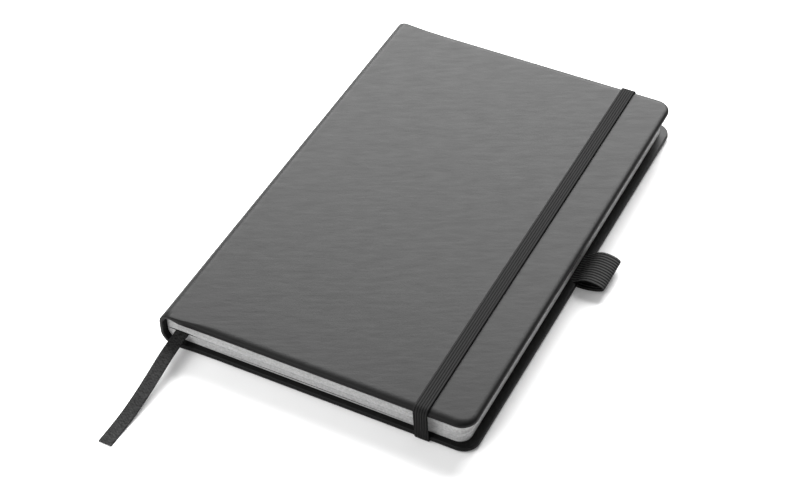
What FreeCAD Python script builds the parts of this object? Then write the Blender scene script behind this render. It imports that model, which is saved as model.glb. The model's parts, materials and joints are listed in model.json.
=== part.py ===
import FreeCAD, Part
import math
import os
from FreeCAD import Vector

# Hard-cover notebook, closed, lying on its back cover.
#
# Book coordinates, used while modelling: x runs from the back of the spine to the fore-edge,
# y from the tail to the head, z up from the underside of the back cover.
# Every shape is moved at export, so that the origin is on the back cover's underside, below the
# middle of the front cover.

# ---- driving dimensions, mm ----
cover_width = 136.0          # back of the spine to the front cover's fore-edge
cover_height = 210.0         # tail to head
skin = 0.6                   # leatherette
board_edge = 1.5             # board between the skin and its turn-ins
turn_in = 15.0               # how far the skin is folded over onto the inside
corner_radius = 7.0          # fore corners of the covers
edge_roll = 1.3              # rounding of the covers' edges
roll_limit = 0.485           # largest share of a thickness that the rounding of its edge takes
board_roll = 0.45            # rounding of the board's edges, as a share of board_edge
paper = 0.12                 # endpaper
block_thickness = 10.2       # sewn pages
page_inset = 2.8             # from the front cover's edges to the pages
page_corner_radius = 5.0     # fore corners of the pages and endpapers
leaf_gap = 0.06              # air between a cover and the leaf that lies on it

# Spine: a thin flexible wall with rounded shoulders.
spine_card = 0.4             # card between the skin and its turn-ins
front_shoulder = 5.0         # outer radius at the front cover
back_shoulder = 6.5          # outer radius at the back cover
spine_roll = 0.3             # rounding of the wall's head and tail ends
lining = 0.25                # gauze glued over the sewn backs
lining_inset = 8.0           # from head and tail
front_joint = 4.0            # from the end of the front shoulder to the board
back_joint = 3.4             # and at the back
joint_clearance = 0.2        # between a shoulder and the cover panel that turns past it
crease_gap = 0.1             # between the front shoulder and the front cover panel
crease_lift = 0.05           # height of the front hinge line over the cover's face

# Closure elastic, one strip round the closed book.
elastic_width = 6.2
elastic_thickness = 0.8
elastic_inset = 21.0         # fore-edge to the strip's middle
elastic_slot_inset = 18.0    # head or tail edge to the slot in the back cover
elastic_tail = 12.0          # glued length inside the slot
elastic_bend = 0.7           # mid radius where it passes the slot
elastic_under_gap = 0.05     # strip above the plane that the book lies on
strip_clearance = 0.1        # round the elastic and the pen loop

# Pen loop, a strip folded in half, both ends let into the back cover's fore-edge.
loop_width = 19.0
loop_thickness = 0.7
loop_middle = 109.8          # tail edge to the loop's middle
loop_tail = 13.0             # let-in length
loop_parting = 1.2           # fore-edge to the place, inside it, where the two layers part
loop_reach = 11.8            # fore-edge to the fold, before the fold is rounded
loop_tip = 3.9               # level of the fold
loop_crest = 6.0             # upper layer's highest point, before rounding
loop_dip = 0.72              # under layer's lowest point, before rounding
loop_dip_reach = 0.6         # fore-edge to that lowest point
loop_tail_gap = 0.06         # between the two let-in ends

# Ribbon marker.
ribbon_width = 6.0
ribbon_thickness = 0.3
ribbon_height = 7.1          # level of the pages that it lies between
ribbon_slot_gap = 0.1        # round the ribbon, between those pages
arc_share = 0.45             # share of the shorter run that a ribbon bend takes

# ---- sizes that follow from them ----
cover_thickness = 2 * skin + board_edge
cover_roll = min(edge_roll, roll_limit * cover_thickness)
leaf_level = cover_thickness + paper + leaf_gap
block_level = leaf_level + paper
total_thickness = 2 * block_level + block_thickness
spine_wall = 2 * skin + spine_card
wall_roll = min(spine_roll, roll_limit * spine_wall)
back_hinge = back_shoulder * (1 - math.pi / 4)
back_hinge_reach = math.hypot(back_shoulder - back_hinge, back_hinge)
back_panel_start = back_hinge + back_hinge_reach + joint_clearance
front_panel_start = front_shoulder + crease_gap
back_board_start = back_shoulder + back_joint
front_board_start = front_shoulder + front_joint
page_end = cover_width - page_inset                # the endpapers are trimmed with the pages
wrapped_board = cover_width - front_board_start    # both boards are cut to one size
back_cover_end = back_board_start + wrapped_board
elastic_middle = cover_width - elastic_inset
loop_upper_end = cover_thickness - loop_thickness / 2
loop_lower_end = loop_upper_end - loop_thickness - loop_tail_gap

# Points of the ribbon's route, chosen by hand: from the head down between the pages, out at the
# tail and down to the surface that the book lies on.
ribbon_route = [
    (5.1, 205.0, ribbon_height),
    (6.6, 141.0, ribbon_height),
    (7.9, 75.0, ribbon_height),
    (8.5, 22.0, ribbon_height),
    (8.8, -6.0, 6.5),
    (9.7, -24.0, 3.9),
    (9.6, -38.0, 1.4),
    (9.0, -47.5, 0.25),
    (8.8, -55.3, 0.25),
]


def box(x0, x1, y0, y1, z0, z1):
    return Part.makeBox(x1 - x0, y1 - y0, z1 - z0, Vector(x0, y0, z0))


def prism(outline, y0, y1):
    """Solid with straight sides between two values of y, from its outline as (x, z) corners."""
    points = [Vector(x, y0, z) for x, z in outline]
    face = Part.Face(Part.makePolygon(points + points[:1]))
    return face.extrude(Vector(0, y1 - y0, 0))


def arc_about(centre, radius, start_degrees, end_degrees, y):
    """Arc in a plane of constant y, as an edge from the start angle to the end angle."""
    def at(degrees):
        angle = math.radians(degrees)
        return Vector(centre[0] + radius * math.cos(angle), y, centre[1] + radius * math.sin(angle))
    middle = (start_degrees + end_degrees) / 2
    return Part.Arc(at(start_degrees), at(middle), at(end_degrees)).toShape()


def line(start, end):
    return Part.LineSegment(start, end).toShape()


def flipped(shape):
    """The same piece on the other side of the book's middle plane."""
    return shape.mirror(Vector(0, 0, total_thickness / 2), Vector(0, 0, 1))


# ---- covers, modelled as the back cover, outer face down ----

def plate(x_start, x_end, inset, z0, z1, corner):
    """Flat plate, inset from head and tail, with its two fore corners rounded."""
    shape = box(x_start, x_end, inset, cover_height - inset, z0, z1)
    uprights = [e for e in shape.Edges
                if e.BoundBox.ZLength > (z1 - z0) / 2 and e.BoundBox.XMin > (x_start + x_end) / 2]
    return shape.makeFillet(corner, uprights)


def rolled_plate(x_start, x_end, inset, z0, z1, corner, roll):
    """A plate whose head, fore and tail edges are rolled. Its spine side stays square."""
    shape = plate(x_start, x_end, inset, z0, z1, corner)
    rims = [e for e in shape.Edges
            if e.BoundBox.ZLength < roll / 2 and e.BoundBox.XMax > x_start + roll]
    return shape.makeFillet(roll, rims)


def joint_wedge(panel_start, board_start):
    """Space that is cut from the inside of a cover, so that it thins down towards the spine."""
    outline = [(panel_start, spine_wall), (board_start, cover_thickness),
               (board_start, cover_thickness + 1), (panel_start - 1, cover_thickness + 1),
               (panel_start - 1, spine_wall)]
    return prism(outline, -1, cover_height + 1)


def cover(panel_start, board_start):
    """Skin with its turn-ins, board, and the endpaper halves on the cover and on the pages."""
    end = board_start + wrapped_board
    shell = rolled_plate(panel_start, end, 0, 0, cover_thickness, corner_radius, cover_roll)
    shell = shell.cut(joint_wedge(panel_start, board_start))
    pocket = rolled_plate(board_start, end - skin, skin, skin, cover_thickness - skin,
                          corner_radius - skin, board_edge * board_roll)
    window = box(panel_start - 1, end - turn_in, turn_in, cover_height - turn_in,
                 skin, cover_thickness + 1)
    pad = box(board_start, end - turn_in, turn_in, cover_height - turn_in, skin, cover_thickness)
    wrap = shell.cut(pocket).cut(window)
    board = pocket.fuse(pad).removeSplitter()
    pastedown = plate(board_start, page_end, page_inset,
                      cover_thickness, cover_thickness + paper, page_corner_radius)
    flyleaf = plate(board_start + joint_clearance, page_end, page_inset,
                    leaf_level, block_level, page_corner_radius)
    return wrap, board, pastedown, flyleaf


# ---- spine ----

def spine_layer(outer, inner, end_inset):
    """Layer of the spine between two depths below its outer face, from tail to head."""
    top = total_thickness - front_shoulder
    front_centre = (front_shoulder, top)
    back_centre = (back_shoulder, back_shoulder)
    y = end_inset

    def face_edges(depth):
        front = arc_about(front_centre, front_shoulder - depth, 90, 180, y)
        back = arc_about(back_centre, back_shoulder - depth, 180, 270, y)
        flat = line(Vector(depth, y, top), Vector(depth, y, back_shoulder))
        return [front, flat, back]

    front_end = line(Vector(front_shoulder, y, total_thickness - outer),
                     Vector(front_shoulder, y, total_thickness - inner))
    back_end = line(Vector(back_shoulder, y, outer), Vector(back_shoulder, y, inner))
    edges = face_edges(outer) + [back_end] + face_edges(inner) + [front_end]
    section = Part.Face(Part.Wire(Part.__sortEdges__(edges)))
    return section.extrude(Vector(0, cover_height - 2 * end_inset, 0))


def spine():
    """Skin with its turn-ins, the card inside it, and the lining on the pages."""
    wall = spine_layer(0, spine_wall, 0)
    rims = [e for e in wall.Edges if e.BoundBox.YLength < 1e-6 and e.Length > 2 * spine_wall]
    wall = wall.makeFillet(wall_roll, rims)
    card = spine_layer(skin, skin + spine_card, skin)
    card = card.fuse(spine_layer(skin + spine_card, spine_wall, turn_in)).removeSplitter()
    gauze = spine_layer(spine_wall, spine_wall + lining, lining_inset)
    return wall.cut(card), card, gauze


# ---- pages ----

def page_block():
    """All the leaves as one block: rounded back, swollen at the joints, rounded fore corners."""
    depth = spine_wall + lining
    front_centre = (front_shoulder, total_thickness - front_shoulder)
    back_centre = (back_shoulder, back_shoulder)
    front_level = total_thickness - block_level
    y = page_inset
    front_arc = arc_about(front_centre, front_shoulder - depth, 90, 180, y)
    back_arc = arc_about(back_centre, back_shoulder - depth, 180, 270, y)
    back = line(Vector(depth, y, front_centre[1]), Vector(depth, y, back_centre[1]))
    corners = [(back_shoulder, depth), (back_board_start + joint_clearance, block_level),
               (page_end, block_level), (page_end, front_level),
               (front_board_start + joint_clearance, front_level),
               (front_shoulder, total_thickness - depth)]
    points = [Vector(x, y, z) for x, z in corners]
    sides = [line(a, b) for a, b in zip(points, points[1:])]
    section = Part.Face(Part.Wire(Part.__sortEdges__([front_arc, back, back_arc] + sides)))
    block = section.extrude(Vector(0, cover_height - 2 * page_inset, 0))
    uprights = [e for e in block.Edges if e.BoundBox.ZLength > block_thickness / 2
                and e.BoundBox.XMin > cover_width / 2]
    parting = ribbon(ribbon_width + 2 * ribbon_slot_gap, ribbon_thickness + 2 * ribbon_slot_gap)
    return block.makeFillet(page_corner_radius, uprights).cut(parting)


# ---- strips ----

def route_wire(points, bends):
    """Straight runs joined by tangent arcs; bends holds one radius for each inner point."""
    edges = []
    start = points[0]
    for before, corner, after, radius in zip(points, points[1:], points[2:], bends):
        way_in = (corner - before).normalize()
        way_out = (after - corner).normalize()
        half_turn = way_in.getAngle(way_out) / 2
        inward = (way_out - way_in).normalize()
        reach = radius * math.tan(half_turn)
        arc_start = corner - way_in * reach
        arc_end = corner + way_out * reach
        middle = corner + inward * (radius / math.cos(half_turn) - radius)
        edges.append(line(start, arc_start))
        edges.append(Part.Arc(arc_start, middle, arc_end).toShape())
        start = arc_end
    edges.append(line(start, points[-1]))
    return Part.Wire(edges)


def shared_bends(points):
    """The radius at each inner point that takes the same share of the shorter run beside it."""
    bends = []
    for before, corner, after in zip(points, points[1:], points[2:]):
        half_turn = (corner - before).getAngle(after - corner) / 2
        shorter = min((corner - before).Length, (after - corner).Length)
        bends.append(arc_share * shorter / math.tan(half_turn))
    return bends


def strip(points, bends, across, width, thickness):
    """Flat strip along a route, with its width along the unit vector across."""
    route = route_wire(points, bends)
    way = (points[1] - points[0]).normalize()
    side = across * (width / 2)
    up = across.cross(way).normalize() * (thickness / 2)
    corners = [points[0] + side + up, points[0] - side + up,
               points[0] - side - up, points[0] + side - up]
    sweep = Part.BRepOffsetAPI.MakePipeShell(route)
    sweep.setBiNormalMode(across)
    sweep.add(Part.makePolygon(corners + corners[:1]), False, False)
    sweep.build()
    sweep.makeSolid()
    return sweep.shape(), route.Length


def elastic(width, thickness):
    """Strip from one glued end inside the back cover, round the closed book, to the other."""
    half = elastic_thickness / 2
    inside = cover_thickness - half
    under = elastic_under_gap + half
    over = total_thickness + strip_clearance + half
    beyond = strip_clearance + half
    top_bend = cover_roll + beyond
    tail_half = [(elastic_slot_inset + elastic_tail, inside), (elastic_slot_inset, inside),
                 (elastic_slot_inset, under), (-beyond, under), (-beyond, over)]
    head_half = [(cover_height - y, z) for y, z in reversed(tail_half)]
    points = [Vector(elastic_middle, y, z) for y, z in tail_half + head_half]
    half_bends = [elastic_bend, elastic_bend, cover_roll, top_bend]
    return strip(points, half_bends + half_bends[::-1], Vector(1, 0, 0), width, thickness)[0]


def pen_loop():
    """Strip that leaves the fore-edge, folds back at the tip and returns to the same place.

    It is cut at the fold into its under and its over layer."""
    hollow = loop_crest - loop_dip
    under = [(-loop_tail, loop_lower_end), (-loop_parting, loop_lower_end),
             (loop_dip_reach, loop_dip), (0.53 * loop_reach, loop_dip + 0.11 * hollow),
             (0.93 * loop_reach, loop_dip + 0.43 * hollow)]
    over = [(0.85 * loop_reach, loop_crest - 0.14 * hollow), (0.48 * loop_reach, loop_crest),
            (0.24 * loop_reach, loop_crest - 0.15 * hollow),
            (0.06 * loop_reach, loop_dip + 0.53 * hollow),
            (-loop_parting, loop_upper_end), (-loop_tail, loop_upper_end)]
    points = [Vector(back_cover_end + x, loop_middle, z)
              for x, z in under + [(loop_reach, loop_tip)] + over]
    loop = strip(points, shared_bends(points), Vector(0, 1, 0), loop_width, loop_thickness)[0]
    inner_end = -loop_tail - 1
    beyond = loop_reach + 1
    between = loop_upper_end - (loop_thickness + loop_tail_gap) / 2
    outline = [(back_cover_end + x, z) for x, z in [
        (inner_end, between), (-loop_parting, between), (beyond, loop_tip), (beyond, -1), (inner_end, -1)]]
    below = prism(outline, loop_middle - loop_width, loop_middle + loop_width)
    return loop.common(below), loop.cut(below)


def loop_pocket():
    """Room in the back cover for both ends of the pen loop, widening down at the fore-edge."""
    beside = loop_width / 2 + strip_clearance
    beneath = loop_thickness / 2 + strip_clearance
    back_end = back_cover_end - loop_tail - strip_clearance
    mouth = back_cover_end + loop_dip_reach
    outline = [(back_end, loop_lower_end - beneath),
               (back_cover_end - 2 * loop_parting, loop_lower_end - beneath),
               (mouth, loop_dip - beneath), (mouth, cover_thickness + 1),
               (back_end, cover_thickness + 1)]
    return prism(outline, loop_middle - beside, loop_middle + beside)


def ribbon(width, thickness):
    points = [Vector(*point) for point in ribbon_route]
    bends = shared_bends(points)
    shape, length = strip(points, bends, Vector(1, 0, 0), width, thickness)
    print("ribbon length %.1f, bend radii %s" % (length, [round(bend) for bend in bends]))
    print("volume %.2f, section times length %.2f" % (shape.Volume, width * thickness * length))
    return shape


# ---- all pieces ----

def pieces():
    back_wrap, back_board, back_pastedown, back_flyleaf = cover(back_panel_start, back_board_start)
    front = [flipped(shape) for shape in cover(front_panel_start, front_board_start)]
    spine_wrap, card, gauze = spine()
    loop_under, loop_over = pen_loop()
    room = 2 * strip_clearance
    channel = elastic(elastic_width + room, elastic_thickness + room)
    return {
        "front_wrap": front[0],
        "front_board": front[1],
        "front_pastedown": front[2],
        "front_flyleaf": front[3],
        "back_wrap": back_wrap.cut(channel).cut(loop_pocket()),
        "back_board": back_board.cut(channel).cut(loop_pocket()),
        "back_pastedown": back_pastedown,
        "back_flyleaf": back_flyleaf,
        "spine_wrap": spine_wrap,
        "spine_card": card,
        "spine_lining": gauze,
        "page_block": page_block(),
        "ribbon_marker": ribbon(ribbon_width, ribbon_thickness),
        "closure_elastic": elastic(elastic_width, elastic_thickness),
        "pen_loop_under": loop_under,
        "pen_loop_over": loop_over,
    }


def export_all():
    os.makedirs("parts", exist_ok=True)
    to_frame = Vector(-cover_width / 2, -cover_height / 2, 0)
    for name, shape in pieces().items():
        shape.translate(to_frame)
        shape.exportStep("parts/%s.step" % name)
        size = shape.BoundBox
        print("%-16s solids %d valid %s volume %9.1f  x %7.2f %7.2f  y %7.2f %7.2f  z %6.2f %6.2f"
              % (name, len(shape.Solids), shape.isValid(), shape.Volume, size.XMin, size.XMax,
                 size.YMin, size.YMax, size.ZMin, size.ZMax))
    print("total thickness %.2f" % total_thickness)
    print("back hinge at x %.3f z %.3f" % (back_hinge + to_frame.x, back_hinge))
    print("front hinge at x %.3f z %.3f"
          % (front_shoulder + to_frame.x, total_thickness + crease_lift))


export_all()
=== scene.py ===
import bmesh
import bpy
import json
import math
from mathutils import Matrix, Vector, noise


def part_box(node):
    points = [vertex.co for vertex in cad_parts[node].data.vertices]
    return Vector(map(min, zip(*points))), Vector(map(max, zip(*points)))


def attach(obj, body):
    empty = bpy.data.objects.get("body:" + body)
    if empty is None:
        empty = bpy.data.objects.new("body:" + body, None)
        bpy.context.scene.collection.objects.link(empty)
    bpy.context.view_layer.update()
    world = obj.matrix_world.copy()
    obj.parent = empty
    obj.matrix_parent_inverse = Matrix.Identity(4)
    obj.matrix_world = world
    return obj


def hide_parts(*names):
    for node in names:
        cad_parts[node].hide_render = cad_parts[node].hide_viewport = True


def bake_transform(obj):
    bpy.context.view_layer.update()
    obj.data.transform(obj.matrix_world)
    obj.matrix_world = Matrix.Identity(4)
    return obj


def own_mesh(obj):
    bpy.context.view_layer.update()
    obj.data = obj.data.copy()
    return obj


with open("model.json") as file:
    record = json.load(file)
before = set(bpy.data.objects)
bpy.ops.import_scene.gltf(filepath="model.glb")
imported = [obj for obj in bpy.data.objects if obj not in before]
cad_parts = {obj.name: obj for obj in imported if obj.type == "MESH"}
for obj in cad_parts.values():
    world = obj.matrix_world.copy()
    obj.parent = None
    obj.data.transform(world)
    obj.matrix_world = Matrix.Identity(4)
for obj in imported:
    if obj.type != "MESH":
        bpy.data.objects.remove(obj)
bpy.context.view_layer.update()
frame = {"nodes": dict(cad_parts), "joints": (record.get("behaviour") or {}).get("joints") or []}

# Closed hard-cover diary lying on its back cover. All lengths are in metres.
# x runs from the spine to the fore-edge, y from the tail to the head, z up.
# "Depth" is measured from an outer face of the covering inwards.

MM = 0.001

# ---- sizes taken from the frame ----
back_low, back_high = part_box("back_wrap")
front_low, front_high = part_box("front_wrap")
spine_low, spine_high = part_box("spine_wrap")
lining_low, lining_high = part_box("spine_lining")
pages_low, pages_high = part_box("page_block")
elastic_low, elastic_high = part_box("closure_elastic")
loop_low, loop_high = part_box("pen_loop_over")
flyleaf_front_low, flyleaf_front_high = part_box("front_flyleaf")
flyleaf_back_low, flyleaf_back_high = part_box("back_flyleaf")
hinge = {joint["name"]: Vector(joint["pos_m"]) for joint in frame["joints"]}

spine_x = spine_low.x                                # outermost face of the spine
front_end = front_high.x                             # fore-edge of the front cover
back_end = back_high.x                               # and of the back cover, a little further out
half_height = front_high.y                           # from the middle to the head or tail edge
top_z = front_high.z
cover_thickness = back_high.z - back_low.z
front_shoulder = hinge["front_hinge"].x - spine_x    # outer radius of the spine at the front
back_shoulder = spine_high.x - spine_x               # and at the back
spine_wall = lining_low.z                            # skin, card and turn-in of the spine
front_panel_x = front_low.x
back_panel_x = back_low.x
front_board_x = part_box("front_board")[0].x
back_board_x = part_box("back_board")[0].x

# ---- covering ----
corner_radius = 7.0 * MM         # fore corners of the covers
outer_roll = 3.3 * MM            # how far in the covers' edges begin to round over, on the outer face
side_roll = 0.7                  # share of that along the fore-edge
inner_roll = 0.7 * MM            # and on the inner face
joint_roll = 0.3 * MM            # the same where the covering is thin, beside and round the spine
roll_growth = 22.0 * MM          # from a cover's spine side to where its edges are fully rounded
sag_fade = 8.0 * MM              # from the rounding to where the covering's unevenness is full
# Unevenness over the boards: waves per metre along x and y, level in the noise, and height.
sag_waves = [(24, 17, 0.3, 0.030 * MM), (90, 70, 4.1, 0.008 * MM)]
crease_angle = 27.08             # degrees from +x towards +y, how the covering's faint creases run
knuckle_inset = 0.03 * MM        # a knuckle's surface inside the covering that hides it
knuckle_drop = 0.1 * MM          # from the front hinge line down to a knuckle's middle

# Covering and endpaper roll round the front hinge line. Angles are in degrees about that line, -90
# straight down and 0 towards the fore-edge. Tips are (x, z) from the line.
knuckle_start = -90
cover_knuckle_end = -165
spine_knuckle_end = -4
cover_gutter_end = -165
block_gutter_end = -6
cover_gutter_tip = (-0.4 * MM, -0.2 * MM)
block_gutter_tip = (0.5 * MM, -0.2 * MM)

# ---- pages, lining and the endpapers' folds ----
page_corner_radius = 5.0 * MM
leaf_group = 0.2 * MM            # leaves whose cut edges lie level with each other
leaf_recess = 0.08 * MM          # and about how far such a group may lie back
leaf_recess_middle = 0.7         # within a group, the edges lie back by this share of that
leaf_recess_spread = 0.6         # give or take this share
leaf_waves_along = 70            # how often that changes per metre along the leaves
leaf_waves_up = 900              # and from leaf to leaf
joint_tip = 0.1 * MM             # half width of the leaves where they are narrowest, in a joint
parting_spread = 1.2 * MM        # height above a parting in which it presses the leaves together
parting_taper = 1.4              # above 1, a parting is fully open over part of its width
lining_thickness = 0.25 * MM
gutter_paper = 0.04 * MM         # endpaper in its fold, thin so that its two legs stay apart
skin_gap = 0.06 * MM             # between it and the covering or the leaves
fold_inset = 0.1 * MM            # from a cover's spine side to the fold
fold_turn = 0.2                  # share of the back fold's radius; only an unused direction in back_gutter reads it

# ---- elastic ----
elastic_thickness = 0.8 * MM
elastic_slot_inset = 18.0 * MM   # head or tail edge to the slot in the back cover
elastic_tail = 12.0 * MM         # glued length inside the slot
elastic_bends = [0.7 * MM, 0.7 * MM, 1.3 * MM, 2.4 * MM]   # radii from the slot to the front cover
elastic_drift = 0.1 * MM         # unevenness of its course
elastic_drift_waves = 30         # per metre
elastic_lean = 1.0 * MM          # how much nearer the fore-edge it runs under the back cover
elastic_ribs = 6
elastic_rib_height = 0.18 * MM
strip_squareness = 14            # the higher, the squarer the edges of the elastic and the loop
strip_clearance = 0.1 * MM       # between the elastic and the covers
channel_room = 0.15 * MM         # beside the elastic's run under the back cover
channel_margin = 1.0 * MM        # from its channel to where a cover's mesh steps change
knee_limit = 0.98                # that place at most this share of the way to the corner
channel_end_step = 0.0005        # share of a cover's face on each side of the channel's end

# ---- pen loop ----
loop_thickness = 0.7 * MM
loop_ribs = 13
loop_rib_height = 0.16 * MM
loop_tail = 13.0 * MM            # length inside the back cover
loop_flat = 4.0 * MM             # how far in its two ends begin to lie flat on each other
loop_layer_gap = 0.06 * MM       # between them
# Just inside the pocket: x from the cover's fore-edge, and height over the end's flat run.
loop_under_mouth = (-1.2 * MM, -0.05 * MM)
loop_over_mouth = (-1.4 * MM, 0.1 * MM)
# Just outside: x from the fore-edge, and height.
loop_under_exit = (0.3 * MM, 0.8 * MM)
loop_over_exit = (0.2 * MM, 3.7 * MM)
# From there round the tip and back on top: x as a share of the loop's reach, and height.
loop_course = [
    (0.23, 0.9 * MM),
    (0.51, 1.3 * MM),
    (0.83, 2.5 * MM),
    (1.007, 3.75 * MM),
    (0.88, 5.0 * MM),
    (0.64, 5.8 * MM),
    (0.37, 5.95 * MM),
    (0.14, 5.0 * MM),
]

# ---- ribbon ----
ribbon_width = 6.0 * MM
ribbon_thickness = 0.3 * MM
ribbon_middle = 0.72             # share of that between its two woven edges
selvedge_start = 0.82            # share of the half width at which such an edge begins
selvedge_ramp = 0.1              # and over which it reaches its full thickness
ribbon_squareness = 20           # the higher, the squarer its edges

# The ribbon's route from the head down between the pages, out at the tail and onto the table.
ribbon_route = [
    (-0.0629, 0.1000, 0.0071),
    (-0.0614, 0.0360, 0.0071),
    (-0.0601, -0.0300, 0.0071),
    (-0.0595, -0.0830, 0.0071),
    (-0.0592, -0.1110, 0.0065),
    (-0.0583, -0.1290, 0.0039),
    (-0.0584, -0.1430, 0.0014),
    (-0.0590, -0.1525, 0.00025),
    (-0.0592, -0.1603, 0.00025),
]

# ---- numbers of mesh steps ----
edge_steps = 54                  # along a cover's tail edge, from its spine side to the elastic
knee_steps = 8                   # and on to the corner
corner_steps = 12
side_steps = 44                  # along half of a cover's fore-edge
face_rings = 30                  # from the middle of a cover to its edge
ring_crowding = 1.5              # above 1, these lie closer together towards the edge
roll_steps = 12
spine_arc_steps = 20
wall_steps = 60                  # along the spine
wall_roll_steps = 10
knuckle_steps = 16
leaf_steps = 70                  # along the tail edge of the leaves
leaf_side_steps = 30
leg_steps = 8
gutter_roll_steps = 24
gutter_bend_steps = 64
elastic_bend_steps = 8
elastic_step = 4.0 * MM
steps_per_rib = 10
ribbon_steps = 16
loop_resolution = 8              # points of its route from one control point to the next
ribbon_resolution = 24           # and of the ribbon's
merge_distance = 1e-7            # points nearer than this become one

# ---- camera and light ----
camera_place = (0.25876, -0.53412, 0.56252)
camera_azimuth = 27.08           # degrees, 0 looks along +Y
camera_elevation = 44.04
camera_roll = -0.66
camera_lens = 87.09              # mm
camera_sensor = 36               # mm
camera_near = 0.01               # nearest that it sees

world_strength = 0.28
floor_glow = 0.12
floor_half = 4.0
floor_drop = 0.02 * MM           # below the back cover, so that the two don't coincide
# Softboxes: azimuth and elevation in degrees, distance, size, radiance.
softboxes = {
    "key_softbox": (-22, 35, 1.7, (1.8, 1.2), 17.5),
    "fill_softbox": (-144, 37, 0.6, (0.50, 0.42), 4.5),
}


# ======== helpers ========

def mix(a, b, share):
    return a + (b - a) * share


def smooth(value):
    """0 below 0, 1 above 1, and an even ramp between them."""
    t = max(0.0, min(1.0, value))
    return t * t * (3 - 2 * t)


def steps(start, end, count):
    """count + 1 evenly spaced values from start to end."""
    return [mix(start, end, k / count) for k in range(count + 1)]


def object_from(name, bm, material):
    """Closes a bmesh's holes, makes its normals agree and turns it into an object."""
    bmesh.ops.remove_doubles(bm, verts=bm.verts, dist=merge_distance)
    rims = [e for e in bm.edges if e.is_boundary]
    for edge in rims:
        edge.smooth = False
    bmesh.ops.holes_fill(bm, edges=rims, sides=0)
    bmesh.ops.recalc_face_normals(bm, faces=bm.faces)
    for face in bm.faces:
        face.smooth = True
    mesh = bpy.data.meshes.new(name)
    bm.to_mesh(mesh)
    bm.free()
    mesh.materials.append(material)
    piece = bpy.data.objects.new(name, mesh)
    bpy.context.scene.collection.objects.link(piece)
    return piece


def surface(rows, closed):
    """bmesh of quads over rows of points; closed joins each row's last point to its first."""
    bm = bmesh.new()
    grid = [[bm.verts.new(p) for p in row] for row in rows]
    count = len(rows[0])
    last = count if closed else count - 1
    for upper, lower in zip(grid, grid[1:]):
        for k in range(last):
            n = (k + 1) % count
            bm.faces.new((upper[k], upper[n], lower[n], lower[k]))
    return bm


def sweep(name, path, across, outline, material):
    """Strip along a path, with its outline as (along across, outwards) pairs."""
    rows = []
    for k, point in enumerate(path):
        before = path[max(k - 1, 0)]
        after = path[min(k + 1, len(path) - 1)]
        way = (after - before).normalized()
        side = (across - way * across.dot(way)).normalized()
        out = side.cross(way)
        rows.append([point + side * u + out * v for u, v in outline])
    return object_from(name, surface(rows, closed=True), material)


def both_faces(face):
    """Closed outline from that of a strip's outer face."""
    return face + [(-u, -v) for u, v in face[1:-1]]


def ribbed_outline(width, thickness, ribs, rib_height):
    """Outline of a strip whose two faces carry lengthwise ribs with narrow valleys between them."""
    face = []
    for u in steps(-1.0, 1.0, steps_per_rib * ribs):
        edge = math.sqrt(max(0.0, 1 - abs(u) ** strip_squareness))
        rib = rib_height * math.sqrt(abs(math.sin(math.pi * (u + 1) * ribs / 2)))
        face.append((u * width / 2, (thickness / 2 - rib_height + rib) * edge))
    return both_faces(face)


def arc_points(centre, radius, start, end, count):
    """Points (a, b) along an arc, in degrees."""
    angles = [math.radians(d) for d in steps(start, end, count)]
    return [(centre[0] + radius * math.cos(a), centre[1] + radius * math.sin(a)) for a in angles]


def route_points(name, points, resolution):
    """Points along the smooth line that has the given points as its control points."""
    curve = bpy.data.curves.new(name, "CURVE")
    curve.dimensions = "3D"
    spline = curve.splines.new("NURBS")
    spline.points.add(len(points) - 1)
    for spot, point in zip(spline.points, points):
        spot.co = (*point, 1)
    spline.order_u = 3
    spline.use_endpoint_u = True
    spline.resolution_u = resolution

    holder = bpy.data.objects.new(name, curve)
    bpy.context.scene.collection.objects.link(holder)
    bpy.context.view_layer.update()
    mesh = bpy.data.meshes.new_from_object(holder)
    path = [v.co.copy() for v in mesh.vertices]
    bpy.data.objects.remove(holder)
    bpy.data.meshes.remove(mesh)
    return path


# ======== materials ========

def new_material(name, roughness, specular):
    material = bpy.data.materials.new(name)
    material.use_nodes = True
    shader = material.node_tree.nodes["Principled BSDF"]
    shader.inputs["Roughness"].default_value = roughness
    shader.inputs["Specular IOR Level"].default_value = specular
    return material, shader


def grey(level):
    return (level, level, level)


def place(material, scale=(1, 1, 1), turn=0.0):
    """Object coordinates, turned about z by an angle in degrees and then scaled."""
    nodes = material.node_tree.nodes
    links = material.node_tree.links
    coordinates = nodes.new("ShaderNodeTexCoord")
    turned = nodes.new("ShaderNodeMapping")
    turned.inputs["Rotation"].default_value = (0, 0, math.radians(turn))
    scaled = nodes.new("ShaderNodeMapping")
    scaled.inputs["Scale"].default_value = scale
    links.new(coordinates.outputs["Object"], turned.inputs["Vector"])
    links.new(turned.outputs["Vector"], scaled.inputs["Vector"])
    return scaled.outputs["Vector"]


def add_noise(material, vector, scale, detail=4.0, roughness=0.55):
    node = material.node_tree.nodes.new("ShaderNodeTexNoise")
    node.inputs["Scale"].default_value = scale
    node.inputs["Detail"].default_value = detail
    node.inputs["Roughness"].default_value = roughness
    material.node_tree.links.new(vector, node.inputs["Vector"])
    return node.outputs["Fac"]


def add_pebbles(material, vector, scale, smoothness):
    node = material.node_tree.nodes.new("ShaderNodeTexVoronoi")
    node.feature = "SMOOTH_F1"
    node.inputs["Scale"].default_value = scale
    node.inputs["Smoothness"].default_value = smoothness
    material.node_tree.links.new(vector, node.inputs["Vector"])
    return node.outputs["Distance"]


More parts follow.
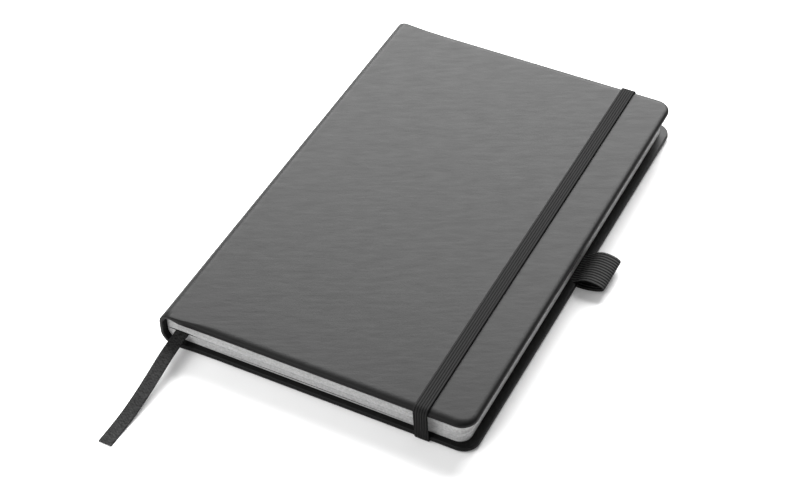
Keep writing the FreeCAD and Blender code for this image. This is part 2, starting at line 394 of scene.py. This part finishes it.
def add_waves(material, vector, pitch, direction, start=0.0, distortion=0.0):
    """Parallel bands, darkest at start and every pitch metres from there."""
    radians_per_metre = 20.0     # of the wave texture at a scale of 1
    node = material.node_tree.nodes.new("ShaderNodeTexWave")
    node.wave_type = "BANDS"
    node.bands_direction = direction
    node.inputs["Scale"].default_value = 2 * math.pi / (radians_per_metre * pitch)
    node.inputs["Phase Offset"].default_value = -2 * math.pi * start / pitch
    node.inputs["Distortion"].default_value = distortion
    material.node_tree.links.new(vector, node.inputs["Vector"])
    return node.outputs["Fac"]


def blend_of(material, first, second, share):
    """One pattern mixed with a share of another."""
    node = material.node_tree.nodes.new("ShaderNodeMix")
    node.data_type = "FLOAT"
    node.inputs["Factor"].default_value = share
    material.node_tree.links.new(first, node.inputs[2])
    material.node_tree.links.new(second, node.inputs[3])
    return node.outputs[0]


pattern_low = 0.25               # patterns are stretched from this range
pattern_high = 0.75


def set_roughness(material, shader, pattern, low, high):
    """Varies the roughness between two values with a pattern."""
    node = material.node_tree.nodes.new("ShaderNodeMapRange")
    node.inputs["From Min"].default_value = pattern_low
    node.inputs["From Max"].default_value = pattern_high
    node.inputs["To Min"].default_value = low
    node.inputs["To Max"].default_value = high
    material.node_tree.links.new(pattern, node.inputs["Value"])
    material.node_tree.links.new(node.outputs["Result"], shader.inputs["Roughness"])


def set_colours(material, shader, pattern, dark, light):
    """Varies the colour between two colours with a pattern."""
    node = material.node_tree.nodes.new("ShaderNodeValToRGB")
    first, last = node.color_ramp.elements
    first.position = pattern_low
    first.color = (*dark, 1)
    last.position = pattern_high
    last.color = (*light, 1)
    material.node_tree.links.new(pattern, node.inputs["Fac"])
    material.node_tree.links.new(node.outputs["Color"], shader.inputs["Base Color"])


def set_bumps(material, shader, layers):
    """Chains bump nodes; each layer is (height pattern, depth in metres, strength)."""
    normal = None
    for height, depth, strength in layers:
        node = material.node_tree.nodes.new("ShaderNodeBump")
        node.inputs["Distance"].default_value = depth
        node.inputs["Strength"].default_value = strength
        material.node_tree.links.new(height, node.inputs["Height"])
        if normal is not None:
            material.node_tree.links.new(normal, node.inputs["Normal"])
        normal = node.outputs["Normal"]
    material.node_tree.links.new(normal, shader.inputs["Normal"])


def leatherette_material():
    """Soft-touch covering: very fine grain, faint long creases, a broad dull gloss."""
    material, shader = new_material("leatherette", roughness=0.45, specular=0.105)
    grain = add_pebbles(material, place(material), scale=1500, smoothness=0.6)
    tooth = add_noise(material, place(material), scale=5200, detail=3)
    long_way = place(material, (1, 4, 1), -crease_angle)
    streaks = add_noise(material, long_way, scale=110, detail=5, roughness=0.6)
    clouds = add_noise(material, place(material), scale=18, detail=3)
    set_colours(material, shader, clouds, grey(0.005), grey(0.007))
    set_roughness(material, shader, streaks, 0.41, 0.49)
    set_bumps(material, shader, [(streaks, 0.10 * MM, 0.7), (grain, 0.03 * MM, 0.35),
                                 (tooth, 0.01 * MM, 0.25)])
    return material


def page_edge_material():
    """Cut edges of the leaves: fine lines along the leaves, a little darker between some of them."""
    material, shader = new_material("page_edges", roughness=0.85, specular=0.2)
    leaves = add_noise(material, place(material, (6, 6, 2600)), scale=1, detail=3, roughness=0.7)
    fibres = add_noise(material, place(material), scale=1200, detail=3)
    set_colours(material, shader, blend_of(material, leaves, fibres, 0.7), grey(0.31), grey(0.57))
    set_bumps(material, shader, [(leaves, 0.05 * MM, 0.4), (fibres, 0.03 * MM, 0.3)])
    return material


def painted_shade_material():
    """Painted shade: leaves inside a parting, coloured dark because little light reaches there."""
    material, shader = new_material("painted_parting_shade", roughness=0.9, specular=0.0)
    fibres = add_noise(material, place(material), scale=1200, detail=3)
    # These dark colours are painted shade, not the paper's own tone.
    set_colours(material, shader, fibres, grey(0.02), grey(0.05))
    return material


def paper_material():
    """Uncoated endpaper."""
    material, shader = new_material("endpaper", roughness=0.8, specular=0.25)
    clouds = add_noise(material, place(material), scale=60)
    fibres = add_noise(material, place(material), scale=2400)
    set_colours(material, shader, clouds, (0.27, 0.27, 0.268), (0.30, 0.30, 0.298))
    set_bumps(material, shader, [(clouds, 0.04 * MM, 0.2), (fibres, 0.01 * MM, 0.3)])
    return material


def knit_material(name, yarn_shade, rib_direction, rib_pitch, rib_start, stitch_direction):
    """Knitted elastic: painted shade in the gaps between its ribs, and small stitches along them."""
    material, shader = new_material(name, roughness=0.8, specular=0.07)
    ribs = add_waves(material, place(material), rib_pitch, rib_direction, rib_start)
    stitches = add_waves(material, place(material), 0.7 * MM, stitch_direction, distortion=1.5)
    threads = add_noise(material, place(material), scale=2600, detail=3)
    # The dark end of this range, at each rib's valley, is painted shade; the light end is the yarn's own
    # tone.
    set_colours(material, shader, blend_of(material, ribs, threads, 0.35), grey(0.006), grey(yarn_shade))
    set_bumps(material, shader, [(stitches, 0.08 * MM, 0.5), (threads, 0.06 * MM, 0.5)])
    return material


def ribbon_material():
    """Woven marker ribbon: fine twill and a soft sheen."""
    material, shader = new_material("woven_ribbon", roughness=0.75, specular=0.1)
    twill = add_waves(material, place(material, turn=35), 0.9 * MM, "Y", distortion=1.0)
    weft = add_waves(material, place(material), 0.45 * MM, "Y", distortion=0.6)
    slubs = add_noise(material, place(material, (1, 2, 1)), scale=800, detail=3)
    set_colours(material, shader, blend_of(material, twill, slubs, 0.93), grey(0.0), grey(0.032))
    set_bumps(material, shader, [(twill, 0.06 * MM, 0.4), (weft, 0.04 * MM, 0.5), (slubs, 0.14 * MM, 0.8)])
    return material


def gauze_material():
    """Open weave of the lining on the leaves' backs."""
    material, shader = new_material("gauze", roughness=0.9, specular=0.2)
    weft = add_waves(material, place(material), 1.2 * MM, "Y", distortion=0.4)
    warp = add_waves(material, place(material), 1.2 * MM, "Z", distortion=0.4)
    set_colours(material, shader, weft, (0.55, 0.54, 0.50), (0.70, 0.69, 0.65))
    set_bumps(material, shader, [(weft, 0.1 * MM, 0.5), (warp, 0.1 * MM, 0.5)])
    return material


def floor_material():
    """White table with a faint glow of its own, which softens the shadows on it."""
    material, shader = new_material("pale_floor", roughness=0.9, specular=0.1)
    grain = add_noise(material, place(material), scale=40, detail=2)
    set_colours(material, shader, grain, grey(0.86), grey(0.88))
    shader.inputs["Emission Color"].default_value = (1, 1, 1, 1)
    shader.inputs["Emission Strength"].default_value = floor_glow
    return material


leatherette = leatherette_material()
page_edges = page_edge_material()
painted_parting_shade = painted_shade_material()
endpaper = paper_material()
elastic_knit = knit_material("elastic_knit", 0.018, "X", (elastic_high.x - elastic_low.x) / elastic_ribs,
                             elastic_low.x, "Y")
loop_knit = knit_material("loop_knit", 0.046, "Y", (loop_high.y - loop_low.y) / loop_ribs, loop_low.y, "X")
woven = ribbon_material()
gauze = gauze_material()


# ======== covering ========

def sag(x, y):
    """Slight unevenness of the covering over its board, in metres."""
    return sum(height * noise.noise(Vector((x * along_x, y * along_y, level)))
               for along_x, along_y, level, height in sag_waves)


def thickness_at(x, panel_x, board_x):
    """A cover thins down from its board to the spine's wall."""
    share = max(0.0, min(1.0, (x - panel_x) / (board_x - panel_x)))
    return mix(spine_wall, cover_thickness, share)


def roll_at(x, panel_x, full_roll):
    """Width of the rounding at x: narrow beside the spine, growing to its full width."""
    return mix(joint_roll, full_roll, smooth((x - panel_x) / roll_growth))


def channel_walls():
    """The two x values between which the elastic runs under the back cover."""
    return [elastic_low.x + elastic_lean - channel_room, elastic_high.x + elastic_lean + channel_room]


def stations(start_x, corner_x):
    """x values along a cover's tail edge, with a pair at each wall of the elastic's channel."""
    walls = channel_walls()
    beyond = walls[1] + channel_margin
    knee = min(beyond, mix(start_x, corner_x, knee_limit))
    marks = [(x + way * channel_room / 2 - start_x) / (beyond - start_x) for x in walls for way in (-1, 1)]
    shares = sorted(steps(0, 1, edge_steps) + marks)
    return [mix(start_x, knee, share) for share in shares] + steps(knee, corner_x, knee_steps)[1:]


def in_channel(x, y):
    """Whether the elastic's run under the back cover passes here."""
    start, end = channel_walls()
    return start < x < end and abs(y) > half_height - elastic_slot_inset


def rim_points(start_x, end_x, inset, side_inset):
    """Tail edge, fore-edge and head edge of a cover, as (x, y); inset is a function of x."""
    reach = max(corner_radius, inset(end_x))
    corner_x = end_x - reach
    legs = [(x, inset(x) - half_height) for x in stations(start_x, corner_x)]
    across = reach - side_inset
    along = reach - inset(end_x)
    corner = [(corner_x + across * c, reach - half_height + along * s)
              for c, s in arc_points((0, 0), 1, -90, 0, corner_steps)]
    side = [(end_x - side_inset, y) for y in steps(reach - half_height, 0, side_steps)]
    half = legs[:-1] + corner[:-1] + side
    return half + [(x, -y) for x, y in reversed(half[:-1])]


def cover_panel(name, start_x, panel_x, board_x, end_x, outer_z, inwards, channel):
    """Closed skin of one cover: outer face, rolled edges and the turned-in inner face.

    channel is the depth that the elastic's run is let into the outer face."""

    def row(full_roll, inset_share, face_share, depth_share):
        """One ring round the cover. Shares of the roll, of the flat face and of the thickness."""
        def inset(x):
            roll = roll_at(x, panel_x, full_roll)
            return mix(roll * inset_share, half_height, face_share)

        side_inset = mix(full_roll * side_roll * inset_share, half_height, face_share)
        points = []
        for x, y in rim_points(start_x, end_x, inset, side_inset):
            away = min(half_height - abs(y), end_x - x, x - start_x)
            swell = sag(x, y) * smooth((away - outer_roll) / sag_fade) * (1 - depth_share)
            depth = thickness_at(x, panel_x, board_x) * depth_share
            if channel > depth and in_channel(x, y):
                depth = channel
            points.append((x, y, outer_z + inwards * (depth - swell)))
        return points

    channel_end = (elastic_slot_inset - outer_roll) / (half_height - outer_roll)
    flat = [share ** ring_crowding for share in steps(1, 0, face_rings)]
    flat += [channel_end - channel_end_step, channel_end + channel_end_step]
    flat.sort(reverse=True)
    turn = steps(0, math.pi / 2, roll_steps)
    rows = [row(outer_roll, 1, share, 0) for share in flat]
    rows += [row(outer_roll, 1 - math.sin(a), 0, (1 - math.cos(a)) / 2) for a in turn[1:]]
    rows += [row(inner_roll, 1 - math.cos(a), 0, (1 + math.sin(a)) / 2) for a in turn[1:]]
    rows += [row(inner_roll, 1, share, 1) for share in reversed(flat[:-1])]
    return object_from(name, surface(rows, closed=False), leatherette)


def wall_piece(name, line, material, end_inset, start_depth, thickness):
    """Layer that follows the spine's outer line, with rolled head and tail ends.

    line holds (x, z, inward x, inward z) for each point."""
    rows = []
    length = half_height - end_inset
    outer = [(y, 0.0) for y in steps(joint_roll - length, length - joint_roll, wall_steps)]
    head = [(length - joint_roll + joint_roll * math.sin(a), thickness * (1 - math.cos(a)) / 2)
            for a in steps(0, math.pi, wall_roll_steps)][1:-1]
    inner = [(y, thickness) for y, depth in reversed(outer)]
    tail = [(-y, depth) for y, depth in reversed(head)]
    for x, z, inward_x, inward_z in line:
        rows.append([(x + inward_x * (start_depth + depth), y, z + inward_z * (start_depth + depth))
                     for y, depth in outer + head + inner + tail])
    return object_from(name, surface(rows, closed=True), material)


def spine_line():
    """Outer line of the covering round the spine, as (x, z, inward x, inward z)."""
    front_centre = (spine_x + front_shoulder, top_z - front_shoulder)
    back_centre = (spine_x + back_shoulder, back_shoulder)
    line = []
    for centre, radius, start, end in [(front_centre, front_shoulder, 90, 180),
                                       (back_centre, back_shoulder, 180, 270)]:
        for x, z in arc_points(centre, radius, start, end, spine_arc_steps):
            line.append((x, z, (centre[0] - x) / radius, (centre[1] - z) / radius))
    return line


def knuckle(name, end, body):
    """Covering rolled round the front hinge line, as far as an angle in degrees.

    While the cover is shut it lies inside the covering beyond the line."""
    pivot = hinge["front_hinge"]
    radius = pivot.z - top_z + spine_wall - knuckle_inset
    length = half_height - joint_roll
    outline = [(pivot.x, pivot.z - knuckle_drop)]
    outline += arc_points((pivot.x, pivot.z), radius, knuckle_start, end, knuckle_steps)
    rows = [[(x, y, z) for x, z in outline] for y in (-length, length)]
    piece = object_from(name, surface(rows, closed=True), leatherette)
    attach(piece, body)


def covering():
    """Front cover, back cover, the spine and the knuckles of the front hinge."""
    front = cover_panel("front_cover_skin", spine_x + front_shoulder, front_panel_x, front_board_x,
                        front_end, top_z, -1, 0.0)
    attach(front, "front_cover")
    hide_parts("front_wrap", "front_board")

    back = cover_panel("back_cover_skin", back_panel_x, back_panel_x, back_board_x, back_end, 0.0, 1,
                       elastic_low.z + elastic_thickness + strip_clearance)
    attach(back, "back_cover")
    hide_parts("back_wrap", "back_board")

    line = spine_line() + [(back_panel_x, 0.0, 0.0, 1.0)]
    spine = wall_piece("spine_skin", line, leatherette, 0.0, 0.0, spine_wall)
    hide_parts("spine_wrap", "spine_card")
    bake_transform(spine)

    knuckle("cover_knuckle", cover_knuckle_end, "front_cover")
    knuckle("spine_knuckle", spine_knuckle_end, "block")


def lining():
    """Gauze inside the spine."""
    piece = wall_piece("spine_gauze", spine_line(), gauze, half_height - lining_high.y, spine_wall,
                       lining_thickness)
    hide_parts("spine_lining")
    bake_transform(piece)


# ======== pages ========

# Places at head and tail where the leaves part, with painted shade on the leaves inside each. depth is how
# far their edges lie back there.
ribbon_parting = {"middle": ribbon_route[3][0], "half_width": 9.0 * MM,
                  "level": ribbon_route[4][2] + 0.1 * MM, "gap": 0.55 * MM, "depth": 2.5 * MM}
endpaper_parting = {"middle": spine_x + 68.0 * MM, "half_width": 50.0 * MM,
                    "level": flyleaf_back_high.z + 0.45 * MM, "gap": 0.40 * MM, "depth": 3.0 * MM}
partings = (endpaper_parting, ribbon_parting)


def back_of_pages(z):
    """Rounded back of the sewn leaves at one level, as x."""
    wall = pages_low.x - spine_x
    for shoulder, centre_z, beyond in [(front_shoulder, top_z - front_shoulder, 1),
                                       (back_shoulder, back_shoulder, -1)]:
        rise = (z - centre_z) * beyond
        if rise > 0:
            radius = shoulder - wall
            return spine_x + shoulder - math.sqrt(max(0.0, radius ** 2 - rise ** 2))
    return pages_low.x


def joint_slope(z):
    """Far end of the leaves that fill a joint, at one level, as x."""
    if z > flyleaf_back_high.z:
        share = (pages_high.z - z) / (pages_high.z - flyleaf_front_low.z)
        return mix(spine_x + front_shoulder, flyleaf_front_low.x, share)
    share = (z - pages_low.z) / (flyleaf_back_high.z - pages_low.z)
    return mix(spine_x + back_shoulder, flyleaf_back_low.x, share)


def openness(x, parting):
    """How open a parting is at x: 1 round its middle, 0 at its ends and beyond."""
    away = abs(x - parting["middle"])
    return smooth(parting_taper - parting_taper * away / parting["half_width"])


def lift(x, z, parting, above):
    """How far a parting raises the leaves at one place; above says whether they lie on its upper side."""
    level = parting["level"]
    if z < level or (z == level and not above):
        return 0.0
    pressed = max(0.0, 1 - (z - level) / parting_spread)
    return parting["gap"] * openness(x, parting) * pressed


def leaf_ring(z, recess, in_joint, above=False, dented=None):
    """Outline of the leaves at one level. recess is how far their cut edges lie back.

    in_joint says that they only fill a joint. above says on which side of a parting at just this
    level they lie, and dented is the parting that they lie back in."""
    x0 = back_of_pages(z)
    x1 = max(joint_slope(z), x0 + 2 * joint_tip) if in_joint else pages_high.x
    radius = joint_tip if in_joint else page_corner_radius
    y1 = pages_high.y
    tail = [(x, -y1) for x in steps(x0, x1 - radius, leaf_steps)]
    corner = arc_points((x1 - radius, radius - y1), radius, -90, 0, corner_steps)
    fore = [(x1, y) for y in steps(radius - y1, 0, leaf_side_steps)]
    half = tail[:-1] + corner[:-1] + fore
    ring = []
    for x, y in half + [(x, -y) for x, y in reversed(half[:-1])]:
        waves = noise.noise(Vector((x * leaf_waves_along, y * leaf_waves_along, z * leaf_waves_up)))
        ragged = recess * (leaf_recess_middle + leaf_recess_spread * waves)
        level = z + sum(lift(x, z, parting, above) for parting in partings)
        dent = dented["depth"] * openness(x, dented) if dented else 0.0
        in_x = ragged if x > x1 - radius else 0.0
        in_y = ragged + dent if abs(y) > y1 - radius else 0.0
        ring.append((x - in_x, y - math.copysign(in_y, y), level))
    return ring


def leaf_stack(name, bottom, top, in_joint):
    """Stack of thin groups of leaves whose cut edges don't quite line up; the faces inside each parting get
    painted shade.
    """
    levels = steps(bottom, top, round((top - bottom) / leaf_group))
    rows = []
    painted_shade_bands = set()
    for k, (z0, z1) in enumerate(zip(levels, levels[1:])):
        uneven = 0.5 + 0.5 * noise.noise(Vector((k * 0.91, 3.7, 0.2)))
        recess = leaf_recess * uneven
        rows.append(leaf_ring(z0, recess, in_joint, True))
        for parting in partings:
            level = parting["level"]
            if z0 <= level < z1:
                rows.append(leaf_ring(level, recess, in_joint, False))
                painted_shade_bands.update(range(len(rows) - 1, len(rows) + 2))
                rows.append(leaf_ring(level, recess, in_joint, False, parting))
                rows.append(leaf_ring(level, recess, in_joint, True, parting))
                rows.append(leaf_ring(level, recess, in_joint, True))
        rows.append(leaf_ring(z1, recess, in_joint))
    bm = surface(rows, closed=True)
    # Faces inside a parting get the dark material: painted shade.
    for k, face in enumerate(bm.faces):
        if k // len(rows[0]) in painted_shade_bands:
            face.material_index = 1
    piece = object_from(name, bm, page_edges)
    piece.data.materials.append(painted_parting_shade)
    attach(piece, "block")
    return piece


def pages():
    """The leaves, and the swellings of their backs that fill the two joints."""
    leaves = leaf_stack("page_leaves", flyleaf_back_high.z, flyleaf_front_low.z, False)
    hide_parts("page_block")
    leaf_stack("back_joint_leaves", pages_low.z, flyleaf_back_high.z, True)
    leaf_stack("front_joint_leaves", flyleaf_front_low.z, pages_high.z, True)


# ======== endpaper gutters ========

def leg(start, end):
    """Straight run of a gutter's path."""
    return [start.lerp(end, share) for share in steps(0, 1, leg_steps)]


def fold_strip(name, path):
    """Endpaper along a gutter's path."""
    half_width = flyleaf_front_high.y
    half_paper = gutter_paper / 2
    outline = [(-half_width, -half_paper), (half_width, -half_paper),
               (half_width, half_paper), (-half_width, half_paper)]
    piece = sweep(name, path, Vector((0, 1, 0)), outline, endpaper)
    return piece


def front_gutter():
    """The front endpaper's fold, which opens further than half a turn.

    Each side of it rolls round the hinge line and, while the cover is shut, lies inside the
    covering beyond that line. Each row gives a side's fold level, far end, last angle and tip."""
    pivot = hinge["front_hinge"]
    fold_x = front_panel_x + fold_inset
    board_face = top_z - cover_thickness
    sides = {
        "front_cover": (top_z - spine_wall - skin_gap, (front_board_x, board_face - skin_gap),
                        cover_gutter_end, cover_gutter_tip),
        "block": (pages_high.z + skin_gap, (flyleaf_front_low.x, flyleaf_front_high.z - skin_gap),
                  block_gutter_end, block_gutter_tip),
    }
    for body, (fold_z, far_end, last_angle, tip) in sides.items():
        fold = Vector((fold_x, 0, fold_z))
        spoke = fold - pivot
        first_angle = math.degrees(math.atan2(spoke.z, spoke.x))
        roll = [Vector((x, 0, z)) for x, z in
                arc_points((pivot.x, pivot.z), spoke.length, first_angle, last_angle, gutter_roll_steps)]
        path = leg(Vector((far_end[0], 0, far_end[1])), fold) + roll[1:]
        path.append(Vector((pivot.x + tip[0], 0, pivot.z + tip[1])))
        piece = fold_strip("front_gutter_of_" + body, path)
        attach(piece, body)


def back_gutter():
    """The back endpaper's fold: down the cover's joint, round a bend, and back."""
    fold_x = back_panel_x + fold_inset
    cover_start = Vector((back_board_x, 0, cover_thickness + skin_gap))
    cover_end = Vector((fold_x, 0, spine_wall + skin_gap))
    block_start = Vector((fold_x, 0, pages_low.z + skin_gap))
    block_end = Vector((flyleaf_back_low.x, 0, flyleaf_back_low.z + skin_gap))
    middle = (cover_end + block_start) / 2
    reach = (cover_end - block_start).length / 2
    way = (cover_end - cover_start).normalized()
    up = (cover_end - block_start).normalized()
    bend = [middle + up * reach * math.cos(a) + way * reach * math.sin(a)
            for a in steps(0, math.pi, gutter_bend_steps)]
    path = leg(cover_start, cover_end)[:-1] + bend + leg(block_start, block_end)[1:]
    piece = fold_strip("back_gutter", path)

    # Direction that would part the fold's two legs; nothing uses it.
    out_of_fold = (block_end - block_start).normalized() - way
    apart = out_of_fold.cross(Vector((0, 1, 0))).normalized() * reach * fold_turn
    if apart.dot(up) < 0:
        apart = -apart
    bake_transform(piece)


# ======== elastic, loop and ribbon ========

def rounded_route(corners, radii, count):
    """Straight runs joined by arcs; radii has one value for each inner corner."""
    points = [corners[0]]
    for before, corner, after, radius in zip(corners, corners[1:], corners[2:], radii):
        way_in = (corner - before).normalized()
        way_out = (after - corner).normalized()
        half_turn = way_in.angle(way_out) / 2
        start = corner - way_in * radius * math.tan(half_turn)
        inward = (way_out - way_in).normalized()
        centre = corner + inward * radius / math.cos(half_turn)
        spoke = start - centre
        axis = way_in.cross(way_out).normalized()
        for angle in steps(0, 2 * half_turn, count):
            points.append(centre + Matrix.Rotation(angle, 3, axis) @ spoke)
    points.append(corners[-1])
    return points


def divided(points, longest):
    """The same route with its long runs divided."""
    path = [points[0]]
    for start, end in zip(points, points[1:]):
        count = max(1, math.ceil((end - start).length / longest))
        path += [start.lerp(end, s) for s in steps(0, 1, count)[1:]]
    return path


def closure():
    """Ribbed elastic round the closed book, leaning a little where it passes the edges."""
    width = elastic_high.x - elastic_low.x
    x = (elastic_low.x + elastic_high.x) / 2
    half = elastic_thickness / 2
    y = elastic_high.y - half
    over = elastic_high.z - half
    under = elastic_low.z + half
    inside = cover_thickness - half
    slot = half_height - elastic_slot_inset
    end = slot - elastic_tail
    corners = [(-end, inside), (-slot, inside), (-slot, under), (-y, under), (-y, over),
               (y, over), (y, under), (slot, under), (slot, inside), (end, inside)]
    route = rounded_route([Vector((x, b, c)) for b, c in corners], elastic_bends + elastic_bends[::-1],
                          elastic_bend_steps)
    path = divided(route, elastic_step)

    for p in path:
        p.x += elastic_lean * min(1.0, (over - p.z) / (over - under))
        p.x += elastic_drift * noise.noise(Vector((0, p.y * elastic_drift_waves, p.z * elastic_drift_waves)))
    outline = ribbed_outline(width, elastic_thickness, elastic_ribs, elastic_rib_height)
    piece = sweep("ribbed_elastic", path, Vector((-1, 0, 0)), outline, elastic_knit)
    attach(piece, "back_cover")
    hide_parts("closure_elastic")
    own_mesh(piece)


def pen_loop():
    """Ribbed loop: out from the fore-edge, folded at the tip and back."""
    width = loop_high.y - loop_low.y
    middle_y = (loop_high.y + loop_low.y) / 2
    upper = cover_thickness - loop_thickness / 2
    lower = upper - loop_thickness - loop_layer_gap
    reach = loop_high.x - back_end
    under = [(-loop_tail, lower), (-loop_flat, lower),
             (loop_under_mouth[0], lower + loop_under_mouth[1]), loop_under_exit]
    over = [loop_over_exit, (loop_over_mouth[0], upper + loop_over_mouth[1]),
            (-loop_flat, upper), (-loop_tail, upper)]
    course = under + [(share * reach, z) for share, z in loop_course] + over
    path = route_points("loop_route", [(back_end + out, middle_y, z) for out, z in course], loop_resolution)
    outline = ribbed_outline(width, loop_thickness, loop_ribs, loop_rib_height)
    piece = sweep("ribbed_pen_loop", path, Vector((0, -1, 0)), outline, loop_knit)
    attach(piece, "back_cover")
    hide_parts("pen_loop_under", "pen_loop_over")


def ribbon():
    """Woven marker ribbon with thicker woven edges, cut square at its end."""
    path = route_points("ribbon_route", ribbon_route, ribbon_resolution)
    face = []
    for u in steps(-1, 1, ribbon_steps):
        selvedge = smooth((abs(u) - selvedge_start) / selvedge_ramp)
        edge = math.sqrt(max(0.0, 1 - abs(u) ** ribbon_squareness))
        face.append((u * ribbon_width / 2, ribbon_thickness / 2 * mix(ribbon_middle, 1, selvedge) * edge))
    piece = sweep("marker_ribbon", path, Vector((1, 0, 0)), both_faces(face), woven)
    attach(piece, "block")
    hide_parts("ribbon_marker")


# ======== CAD pieces that stay ========

def dress(names, material):
    """Gives CAD pieces that stay a material from this script."""
    for name in names:
        for slot in frame["nodes"][name].material_slots:
            slot.material = material


# ======== studio ========

def add_softbox(name, azimuth, elevation, distance, size, radiance):
    """Rectangular light that faces the object. Azimuth 0 is beyond the head, 90 beyond the fore-edge."""
    light = bpy.data.lights.new(name, "AREA")
    light.shape = "RECTANGLE"
    light.size = size[0]
    light.size_y = size[1]
    light.energy = radiance * math.pi * size[0] * size[1]
    turn = math.radians(azimuth)
    rise = math.radians(elevation)
    way = Vector((math.sin(turn) * math.cos(rise), math.cos(turn) * math.cos(rise), math.sin(rise)))
    lamp = bpy.data.objects.new(name, light)
    lamp.location = way * distance
    lamp.rotation_euler = way.to_track_quat("Z", "Y").to_euler()
    bpy.context.scene.collection.objects.link(lamp)


def studio():
    """White floor, even surroundings and two softboxes."""
    bm = bmesh.new()
    bmesh.ops.create_grid(bm, x_segments=2, y_segments=2, size=floor_half)
    mesh = bpy.data.meshes.new("floor")
    bm.to_mesh(mesh)
    bm.free()
    mesh.materials.append(floor_material())
    floor = bpy.data.objects.new("floor", mesh)
    floor.location.z = -floor_drop
    bpy.context.scene.collection.objects.link(floor)

    world = bpy.data.worlds.new("studio")
    world.use_nodes = True
    background = world.node_tree.nodes["Background"]
    background.inputs["Color"].default_value = (1, 1, 1, 1)
    background.inputs["Strength"].default_value = world_strength
    bpy.context.scene.world = world
    for name, (azimuth, elevation, distance, size, radiance) in softboxes.items():
        add_softbox(name, azimuth, elevation, distance, size, radiance)
    bpy.context.scene.view_settings.view_transform = "Standard"


def camera():
    """Long lens that looks down on the tail and fore-edge corner."""
    azimuth = math.radians(camera_azimuth)
    elevation = math.radians(camera_elevation)
    back = Vector((math.sin(azimuth) * math.cos(elevation), -math.cos(azimuth) * math.cos(elevation),
                   math.sin(elevation)))
    data = bpy.data.cameras.new("camera")
    data.lens = camera_lens
    data.sensor_width = camera_sensor
    data.clip_start = camera_near
    seat = bpy.data.objects.new("camera", data)
    seat.location = camera_place
    aim = (-back).to_track_quat("-Z", "Y").to_matrix()
    seat.rotation_euler = (aim @ Matrix.Rotation(math.radians(camera_roll), 3, "Z")).to_euler()
    bpy.context.scene.collection.objects.link(seat)
    bpy.context.scene.camera = seat


# ======== the object ========

camera()
ribbon()
covering()
lining()
pages()
front_gutter()
back_gutter()
closure()
pen_loop()
dress(["front_pastedown", "back_pastedown", "front_flyleaf", "back_flyleaf"], endpaper)
studio()
